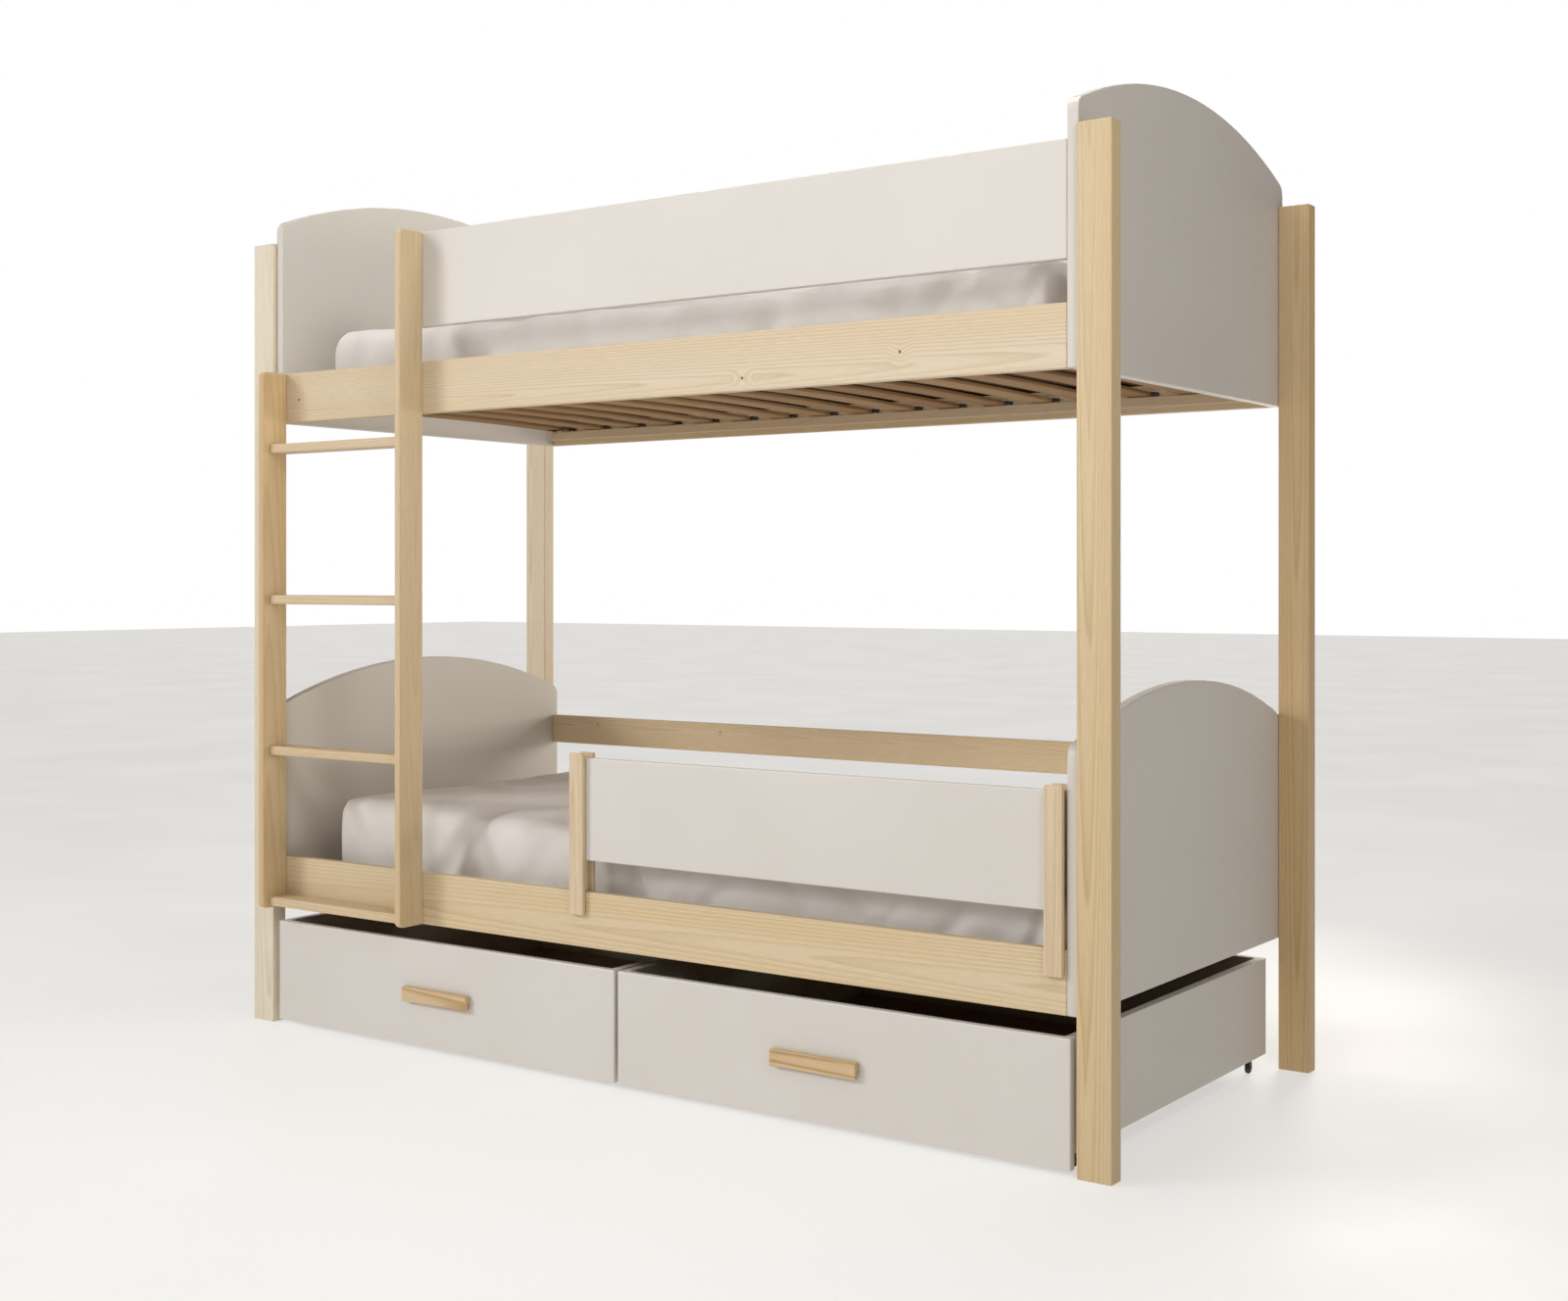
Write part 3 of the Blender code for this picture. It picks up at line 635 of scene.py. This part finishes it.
def crease_depth(point, middle, low, node):
    """How deep the front side's creases are at this point. They fade out over the top."""
    fade = max(0.0, 1 - (point.y - low.y) / CREASE_FADE)
    rise = point.z - middle.z
    total = 0.0
    for place, lean, width, depth in CREASES[node]:
        away = (point.x - place - lean * rise) / width
        total += depth * math.exp(-away * away)
    return total * fade


print(len(FOLD_WAVES), "sizes of fold,", sum(len(row) for row in CREASES.values()), "creases")


# %% Making a mattress
def swell(piece):
    """Runs the cloth and leaves the piece in its swollen shape."""
    resting = piece.vertex_groups.new(name="resting")
    floor_z = min(vertex.co.z for vertex in piece.data.vertices)
    held = [v.index for v in piece.data.vertices if v.co.z < floor_z + HELD_HEIGHT]
    resting.add(held, 1.0, "REPLACE")
    cloth = piece.modifiers.new("cloth", "CLOTH")
    settings = cloth.settings
    settings.quality = 5
    settings.mass = 0.3
    settings.tension_stiffness = 14
    settings.compression_stiffness = 14
    settings.shear_stiffness = 5
    settings.bending_stiffness = 0.4
    settings.use_pressure = True
    settings.uniform_pressure_force = 4
    settings.shrink_min = -0.035
    settings.effector_weights.gravity = 0
    settings.vertex_group_mass = resting.name
    cloth.point_cache.frame_start = 1
    cloth.point_cache.frame_end = CLOTH_FRAMES
    for number in range(1, CLOTH_FRAMES + 1):
        bpy.context.scene.frame_set(number)
    only(piece)
    bpy.ops.object.modifier_apply(modifier=cloth.name)
    bpy.context.scene.frame_set(1)


def make_mattress(node, body, seed):
    low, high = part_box(node)
    inset = Vector((PAD_START, PAD_START, 0))
    piece = box_piece(node + "_cover", low + inset, high - inset - Vector((0, 0, PAD_START)))
    round_edges(piece, PAD_ROUND, 5)
    apply_modifier(piece, "REMESH", mode="VOXEL", voxel_size=PAD_VOXEL)
    middle = (low + high) / 2
    for vertex in piece.data.vertices:
        if vertex.co.z > low.z + FOLD_START:
            push = fold_push(vertex.co - middle, seed) * FOLD_DEPTH
            push -= crease_depth(vertex.co, middle, low, node)
            vertex.co += vertex.normal * push
    start = [vertex.co.copy() for vertex in piece.data.vertices]
    swell(piece)
    for vertex, before in zip(piece.data.vertices, start):
        travel = vertex.co - before
        if travel.length > PAD_CAP:
            vertex.co = before + travel * (PAD_CAP / travel.length)
        for axis in range(3):
            lowest = low[axis] if axis == 2 else low[axis] - PAD_STRAY
            vertex.co[axis] = min(max(vertex.co[axis], lowest), high[axis] + PAD_STRAY)
    apply_modifier(piece, "SUBSURF", levels=1, render_levels=1)
    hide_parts(node)
    finish_piece(piece, mattress_cotton, body, smooth_angle=180)
    # The underside and the foot of the sides take the painted shade.
    piece.data.materials.append(underside_painted_shade)
    for face in piece.data.polygons:
        face.material_index = int(face.center.z < low.z + PAINTED_SHADE_HEIGHT)
    print(piece.name, len(piece.data.polygons), "faces")


make_mattress("upper_mattress", "upper_mattress_body", seed=3.7)
make_mattress("lower_mattress", "lower_mattress_body", seed=11.2)

# %% [markdown]
# ## Sprung slats
# A sprung slat is a strip of glued veneers, pressed in a curve, so that it gives a little under the
# sleeper. The strips sit on the ledgers with their middles high. One slat is modelled flat, cut across
# into short lengths, bowed by moving its points along a parabola, rounded, and then copied along the bed.

# %% Slat wood
PLY_LIGHT = (0.400, 0.250, 0.125)
PLY_DARK = (0.300, 0.175, 0.080)
SLAT_PITCH = 0.109

veneer = Recipe("slat_veneer", roughness=0.75, specular=0.12)
veneer_place = veneer.place()
along_slat = veneer.vector("MULTIPLY", veneer_place, (1.0, 0.03, 1.0))
which = veneer.add("SeparateXYZ", {0: veneer_place}).outputs["X"]
which = veneer.math("ROUND", veneer.math("DIVIDE", which, SLAT_PITCH))
own_tone = veneer.add("TexWhiteNoise", {"W": which}, noise_dimensions="1D").outputs["Value"]
fibre_lines = veneer.clouds(along_slat, 260.0, 3.0)
slat_share = veneer.math("MULTIPLY", own_tone, 0.45)
fibre_share = veneer.math("MULTIPLY", fibre_lines, 0.6)
mixed = veneer.math("ADD", slat_share, fibre_share)
veneer.colour(veneer.blend(veneer.remap(mixed, 0.25, 0.8), PLY_LIGHT, PLY_DARK))
veneer.rough(veneer.remap(fibre_lines, 0.3, 0.7, 0.70, 0.82))
veneer.relief(fibre_lines, 0.00006)
slat_veneer = veneer.material
print("each slat takes its own tone, one every", SLAT_PITCH, "m")

# %% Slats
SLAT_COUNT = 17
SLAT_WIDTH = 0.053
SLAT_THICKNESS = 0.008
SLAT_BOW = 0.0070
SLAT_CUTS = 11
SLAT_ROUND = 0.0016
ROOT_BODY = "frame"


def bow(piece, middle_y, half_length):
    for vertex in piece.data.vertices:
        share = (vertex.co.y - middle_y) / half_length
        vertex.co.z += SLAT_BOW * max(0.0, 1 - share * share)


def cut_across(piece, axis, places):
    """Cuts the whole piece by planes at these places along an axis."""
    only(piece)
    bpy.ops.object.mode_set(mode="EDIT")
    direction = [0, 0, 0]
    direction[axis] = 1
    for place in places:
        point = [0, 0, 0]
        point[axis] = place
        bpy.ops.mesh.select_all(action="SELECT")
        bpy.ops.mesh.bisect(plane_co=point, plane_no=direction)
    done_editing()


def make_slats(tier):
    low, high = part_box(tier + "_slat_base")
    middle_y, half_length = (low.y + high.y) / 2, (high.y - low.y) / 2
    first = -SLAT_PITCH * (SLAT_COUNT - 1) / 2
    start = Vector((first - SLAT_WIDTH / 2, low.y, low.z))
    end = Vector((first + SLAT_WIDTH / 2, high.y, low.z + SLAT_THICKNESS))
    slat = box_piece(tier + "_slats", start, end)
    step = (high.y - low.y) / (SLAT_CUTS + 1)
    cut_across(slat, 1, [low.y + step * (number + 1) for number in range(SLAT_CUTS)])
    bow(slat, middle_y, half_length)
    round_edges(slat, SLAT_ROUND, 2)
    slats = [slat] + [copied(slat, "slat", (SLAT_PITCH * n, 0, 0)) for n in range(1, SLAT_COUNT)]
    slats = joined(slats, tier + "_slats")
    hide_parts(tier + "_slat_base")
    finish_piece(slats, slat_veneer, ROOT_BODY)
    print(slats.name, len(slats.data.polygons), "faces")


for tier in ("upper", "lower"):
    make_slats(tier)

# %% [markdown]
# ## Webbing and stops
# Two cotton straps are stapled across the slats and keep them apart, so that the whole base rolls up for
# carrying. A strap is pulled flat over each slat and sags a little between. One loose end hangs in a
# twist by the last slat at the left. Small plastic stops on the ledgers keep each slat in its place.

# %% Webbing cloth
RIB_PITCH, THREAD_PITCH = 0.0016, 0.0011
WEB_LIGHT, WEB_WORN = (0.62, 0.57, 0.49), (0.50, 0.45, 0.37)

webbing = Recipe("webbing", roughness=0.8, specular=0.3)
webbing_split = webbing.add("SeparateXYZ", {0: webbing.place()})


def web_wave(axis, pitch):
    turns = webbing.math("MULTIPLY", webbing_split.outputs[axis], 2 * math.pi / pitch)
    return webbing.math("SINE", turns)


woven = webbing.math("MULTIPLY", web_wave("X", RIB_PITCH), web_wave("Y", THREAD_PITCH))
worn = webbing.clouds(webbing.place(), 90.0, 3.0)
webbing.colour(webbing.blend(webbing.remap(worn, 0.3, 0.7), WEB_LIGHT, WEB_WORN))
webbing.relief(woven, 0.0002)
webbing_cloth = webbing.material
print("the webbing has a rib every", RIB_PITCH, "m")

# %% Straps
STRAP_WIDTH = 0.025
STRAP_THICKNESS = 0.0016
STRAP_FROM_END = 0.026                 # its middle, from the slats' ends
STRAP_OVER_END = 0.013                 # past the last slat's middle
STRAP_CUTS = (-0.024, 0.024, 0.038, 0.0545, 0.071)      # from a slat's middle
STRAP_SAG = 0.0022
SAG_START, SAG_RUN = 0.0265, 0.022     # from a slat's middle, and from there to the full sag
STRAP_LIFT = 0.0003                    # over the slats
STRAP_SIDES = {"front": -1, "back": 1}
SLAT_MIDDLES = [SLAT_PITCH * (number - (SLAT_COUNT - 1) / 2) for number in range(SLAT_COUNT)]


def make_strap(tier, end):
    """Returns the strap's middle line and the height of its top over a slat."""
    low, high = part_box(tier + "_slat_base")
    half_length = (high.y - low.y) / 2
    middle = (low.y + high.y) / 2 + STRAP_SIDES[end] * (half_length - STRAP_FROM_END)
    share = 1 - STRAP_FROM_END / half_length
    bottom = low.z + SLAT_THICKNESS + SLAT_BOW * (1 - share * share) + STRAP_LIFT
    reach = SLAT_PITCH * (SLAT_COUNT - 1) / 2 + STRAP_OVER_END
    strap = box_piece(f"{tier}_{end}_strap", (-reach, middle - STRAP_WIDTH / 2, bottom),
                      (reach, middle + STRAP_WIDTH / 2, bottom + STRAP_THICKNESS))
    places = [x + step for x in SLAT_MIDDLES for step in STRAP_CUTS]
    cut_across(strap, 0, [x for x in places if abs(x) < reach - 0.001])
    for vertex in strap.data.vertices:
        nearest = min(abs(vertex.co.x - x) for x in SLAT_MIDDLES)
        vertex.co.z -= STRAP_SAG * min(1.0, max(0.0, nearest - SAG_START) / SAG_RUN)
    round_edges(strap, 0.0004, 1)
    finish_piece(strap, webbing_cloth, ROOT_BODY)
    return middle, bottom + STRAP_THICKNESS


# %% Staples and stops
STAPLE = Vector((0.0008, 0.012, 0.0006))
STAPLE_OFFSET = 0.010                  # two on each slat, either side of its middle
STOP = Vector((0.010, 0.014, 0.009))
STOP_GAP = 0.0004
STOP_INSET = 0.0012                    # from the slats' ends
POCKET_RIM, POCKET_DEPTH = 0.0022, 0.0015


def make_staples(tier, rows):
    spots = [Vector((x + offset, middle, top + STAPLE.z / 2)) for middle, top in rows
             for x in SLAT_MIDDLES for offset in (-STAPLE_OFFSET, STAPLE_OFFSET)]
    pin = box_piece("staple", spots[0] - STAPLE / 2, spots[0] + STAPLE / 2)
    round_edges(pin, 0.00025, 1)
    pins = [pin] + [copied(pin, "staple", spot - spots[0]) for spot in spots[1:]]
    finish_piece(joined(pins, tier + "_staples"), zinc, ROOT_BODY)


def make_stops(tier):
    """Stops between the slats, along both ends, each with a shallow pocket in its top."""
    low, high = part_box(tier + "_slat_base")
    rows = (low.y + STOP_INSET, high.y - STOP_INSET - STOP.y)
    corners = [Vector((x + SLAT_WIDTH / 2 + STOP_GAP, y, low.z)) for y in rows for x in SLAT_MIDDLES[:-1]]
    stop = box_piece("stop", corners[0], corners[0] + STOP)
    edit_faces(stop, lambda face: face.normal.z > 0.9)
    bpy.ops.mesh.inset(thickness=POCKET_RIM)
    bpy.ops.transform.translate(value=(0, 0, -POCKET_DEPTH))
    done_editing()
    round_edges(stop, 0.0006, 2)
    stops = [stop] + [copied(stop, "stop", corner - corners[0]) for corner in corners[1:]]
    finish_piece(joined(stops, tier + "_slat_stops"), stop_plastic, ROOT_BODY)


for tier in ("upper", "lower"):
    make_staples(tier, [make_strap(tier, end) for end in STRAP_SIDES])
    make_stops(tier)
print(4 * SLAT_COUNT, "staples and", 2 * (SLAT_COUNT - 1), "stops to a tier")

# %% The loose end of a strap
TAIL_POINTS = ((-0.884, 1.3030), (-0.893, 1.3000), (-0.890, 1.2960), (-0.872, 1.2915), (-0.856, 1.2895),
               (-0.843, 1.2925), (-0.834, 1.2900), (-0.820, 1.2870), (-0.806, 1.2905), (-0.796, 1.2880))
TAIL_TWIST = 0.75                      # radians, from one end to the other
TAIL_BLANK = 0.024                     # length of the straight strip that it is made from
TAIL_THICKNESS = 0.0012
TAIL_IN = 0.016                        # its middle, from the back strap's middle
TAIL_CURL = 0.25                       # how far the twist tips its edges up

tail_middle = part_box("upper_slat_base")[1].y - STRAP_FROM_END - TAIL_IN
tail_corner = Vector((TAIL_BLANK, STRAP_WIDTH, TAIL_THICKNESS)) / 2
tail = box_piece("strap_tail", -tail_corner, tail_corner)
tail_steps = len(TAIL_POINTS) - 1
cut_across(tail, 0, [TAIL_BLANK * (number / tail_steps - 0.5) for number in range(1, tail_steps)])
for vertex in tail.data.vertices:
    number = round((vertex.co.x / TAIL_BLANK + 0.5) * tail_steps)
    x, z = TAIL_POINTS[number]
    before, after = TAIL_POINTS[max(0, number - 1)], TAIL_POINTS[min(tail_steps, number + 1)]
    slope = Vector((after[0] - before[0], after[1] - before[1])).normalized()
    turn = TAIL_TWIST * number / tail_steps
    side, up = vertex.co.y, vertex.co.z
    lift = up * math.cos(turn) + TAIL_CURL * side * math.sin(turn)
    vertex.co = (x - slope.y * lift, tail_middle + side * math.cos(turn) * 0.9, z + slope.x * lift)
apply_modifier(tail, "SUBSURF", levels=2, render_levels=2)
finish_piece(tail, webbing_cloth, ROOT_BODY, smooth_angle=60)
print("the loose end has", len(tail.data.polygons), "faces")

# %% [markdown]
# ## Castor wheels
# A drawer wheel is a moulded disc with a round tread, a shallow dish on both sides and a boss around its
# bore. It starts as a cylinder on its side. Both ends are inset and pushed in together, inset again and
# pushed out for the boss, and bridged through for the axle. One wheel serves for all eight.

# %% Wheels
TREAD_WALL = 0.0022
DISH_DEPTH = 0.0011
BOSS_HEIGHT = 0.0008
BOSS_RADIUS = 0.0042
BORE_RADIUS = 0.0023
TREAD_ROUND = 0.0014
DISH_SLOPE = 0.0005
BOSS_SLOPE = 0.0003
NEAR_RIM = 0.0001                      # this close counts as on the rim


def round_tread(wheel, middle, radius, half_width):
    """Rounds the two outer rims of the tread."""
    edit_faces(wheel, lambda face: False)
    bpy.ops.mesh.select_mode(type="EDGE")
    done_editing()
    for line in wheel.data.edges:
        ends = [wheel.data.vertices[number].co - middle for number in line.vertices]
        line.select = all(abs(end.x) > half_width - NEAR_RIM
                          and math.hypot(end.y, end.z) > radius - NEAR_RIM for end in ends)
    bpy.ops.object.mode_set(mode="EDIT")
    bpy.ops.mesh.bevel(offset=TREAD_ROUND, segments=4)


def make_first_wheel(node):
    low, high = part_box(node)
    middle, radius = (low + high) / 2, (high.z - low.z) / 2
    bpy.ops.object.select_all(action="DESELECT")
    bpy.ops.mesh.primitive_cylinder_add(vertices=40, radius=radius, depth=high.x - low.x,
                                        location=middle, rotation=(0, math.pi / 2, 0))
    wheel = bpy.context.object
    bpy.ops.object.transform_apply(location=True, rotation=True, scale=True)
    edit_faces(wheel, lambda face: abs(face.normal.x) > 0.9)
    bpy.ops.mesh.inset(thickness=TREAD_WALL)
    bpy.ops.mesh.inset(thickness=DISH_SLOPE, depth=-DISH_DEPTH)
    bpy.ops.mesh.inset(thickness=radius - TREAD_WALL - DISH_SLOPE - BOSS_RADIUS)
    bpy.ops.mesh.inset(thickness=BOSS_SLOPE, depth=BOSS_HEIGHT)
    bpy.ops.mesh.inset(thickness=BOSS_RADIUS - BOSS_SLOPE - BORE_RADIUS)
    bpy.ops.mesh.bridge_edge_loops()
    done_editing()
    round_tread(wheel, middle, radius, (high.x - low.x) / 2)
    bpy.ops.mesh.select_all(action="SELECT")
    bpy.ops.mesh.normals_make_consistent(inside=False)
    done_editing()
    return wheel, middle


wheel_nodes = sorted(node for node, slot in slots.items() if slot == "wheel_plastic")
first_wheel, first_middle = make_first_wheel(wheel_nodes[0])
for node in wheel_nodes:
    low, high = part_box(node)
    if node == wheel_nodes[0]:
        wheel = first_wheel
        wheel.name = node + "_moulded"
    else:
        wheel = copied(first_wheel, node + "_moulded", (low + high) / 2 - first_middle)
    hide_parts(node)
    finish_piece(wheel, wheel_plastic, node + "_body", smooth_angle=40)
print(len(wheel_nodes), "wheels of", len(first_wheel.data.polygons), "faces")

# %% [markdown]
# ## Screw heads
# The front ledgers are screwed to their rails and the battens to their guard board, with the heads on the
# inner side. A head is a shallow disc with a rim and a driver hole: a cylinder whose face is inset three
# times. Seen from a metre away the shape of the hole doesn't count, so it is left round.

# %% Screws
SCREW_RADIUS = 0.0036
SCREW_RISE = 0.0006
LEDGER_SCREWS = (-0.80, -0.48, -0.16, 0.16, 0.48, 0.80)
BATTEN_SCREW_IN = 0.045                # from the guard board's edges


def make_screw(spot):
    """A screw head that looks towards +Y, with its flat back at this spot."""
    bpy.ops.object.select_all(action="DESELECT")
    bpy.ops.mesh.primitive_cylinder_add(vertices=16, radius=SCREW_RADIUS, depth=SCREW_RISE,
                                        location=spot + Vector((0, SCREW_RISE / 2, 0)),
                                        rotation=(math.pi / 2, 0, 0))
    screw = bpy.context.object
    bpy.ops.object.transform_apply(location=True, rotation=True, scale=True)
    edit_faces(screw, lambda face: face.normal.y > 0.9)
    bpy.ops.mesh.inset(thickness=0.0006, depth=0.0002)      # a rounded rim
    bpy.ops.mesh.inset(thickness=0.0012)                    # the flat
    bpy.ops.mesh.inset(thickness=0.0005, depth=-0.0005)     # the driver hole
    done_editing()
    return screw


def screw_row(name, spots, body):
    """Copies one screw to all spots."""
    first = make_screw(Vector(spots[0]))
    row = [first] + [copied(first, "screw", Vector(spot) - Vector(spots[0])) for spot in spots[1:]]
    finish_piece(joined(row, name), zinc, body)


for tier in ("upper", "lower"):
    low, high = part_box(tier + "_front_ledger")
    spots = [(x, high.y, (low.z + high.z) / 2) for x in LEDGER_SCREWS]
    screw_row(tier + "_ledger_screws", spots, ROOT_BODY)

board_low, board_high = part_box("lift_guard_board")
for end in ("left", "right"):
    low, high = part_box(f"lift_guard_{end}_back_batten")
    x = (low.x + high.x) / 2
    spots = [(x, high.y, board_low.z + BATTEN_SCREW_IN), (x, high.y, board_high.z - BATTEN_SCREW_IN)]
    screw_row(f"lift_guard_{end}_screws", spots, "lift_guard")
print("screws are", 2 * SCREW_RADIUS, "m across")
